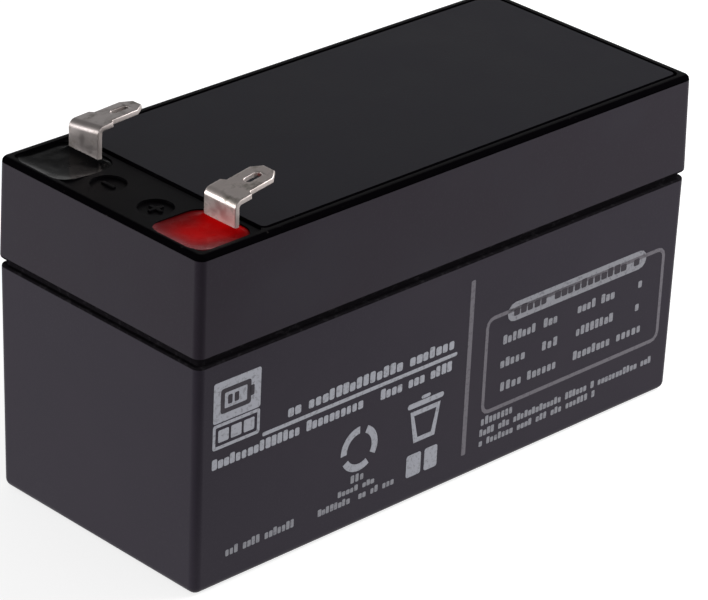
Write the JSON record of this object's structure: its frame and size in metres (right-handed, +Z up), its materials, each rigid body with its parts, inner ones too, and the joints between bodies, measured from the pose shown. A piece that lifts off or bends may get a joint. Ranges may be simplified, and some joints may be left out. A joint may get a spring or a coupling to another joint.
{
  "type": "sealed lead-acid battery",
  "caption": "Small sealed lead-acid battery: dark moulded case, deep lid with a flush valve cover, and slotted push-on tabs set in red and black epoxy at one end.",
  "frame": {"origin": "middle of the base, on the surface that the battery stands on", "axes": "+X along the length, with the terminals at the -X end; -Y is the printed long side; +Z up"},
  "size_m": [0.097, 0.0424, 0.0577],
  "materials": {
    "case_abs": "moulded ABS, dark charcoal, satin",
    "cover_abs": "moulded ABS, dark charcoal, satin",
    "tinned_brass": "pressed brass strip, tin plated",
    "red_epoxy": "poured red epoxy, glossy",
    "black_epoxy": "poured black epoxy, glossy",
    "black_rubber": "moulded rubber",
    "positive_lead": "lead grid with brown dioxide paste",
    "negative_lead": "lead grid with grey spongy lead paste",
    "cast_lead": "cast lead",
    "glass_mat": "absorbent glass mat"
  },
  "bodies": {
    "root": {"container": "case_abs", "lid": "case_abs", "valve_cover": "cover_abs", "positive_terminal": "tinned_brass", "negative_terminal": "tinned_brass", "positive_epoxy": "red_epoxy", "negative_epoxy": "black_epoxy", "positive_post_ring": "black_rubber", "negative_post_ring": "black_rubber", "valve_cap_1": "black_rubber", "positive_group_1": "positive_lead", "negative_group_1": "negative_lead", "separator_1a": "glass_mat", "separator_1b": "glass_mat", "link_1_2": "cast_lead", "valve_cap_2": "black_rubber", "positive_group_2": "positive_lead", "negative_group_2": "negative_lead", "separator_2a": "glass_mat", "separator_2b": "glass_mat", "link_2_3": "cast_lead", "valve_cap_3": "black_rubber", "positive_group_3": "positive_lead", "negative_group_3": "negative_lead", "separator_3a": "glass_mat", "separator_3b": "glass_mat", "link_3_4": "cast_lead", "valve_cap_4": "black_rubber", "positive_group_4": "positive_lead", "negative_group_4": "negative_lead", "separator_4a": "glass_mat", "separator_4b": "glass_mat", "link_4_5": "cast_lead", "valve_cap_5": "black_rubber", "positive_group_5": "positive_lead", "negative_group_5": "negative_lead", "separator_5a": "glass_mat", "separator_5b": "glass_mat", "link_5_6": "cast_lead", "valve_cap_6": "black_rubber", "positive_group_6": "positive_lead", "negative_group_6": "negative_lead", "separator_6a": "glass_mat", "separator_6b": "glass_mat"}
  },
  "joints": []
}
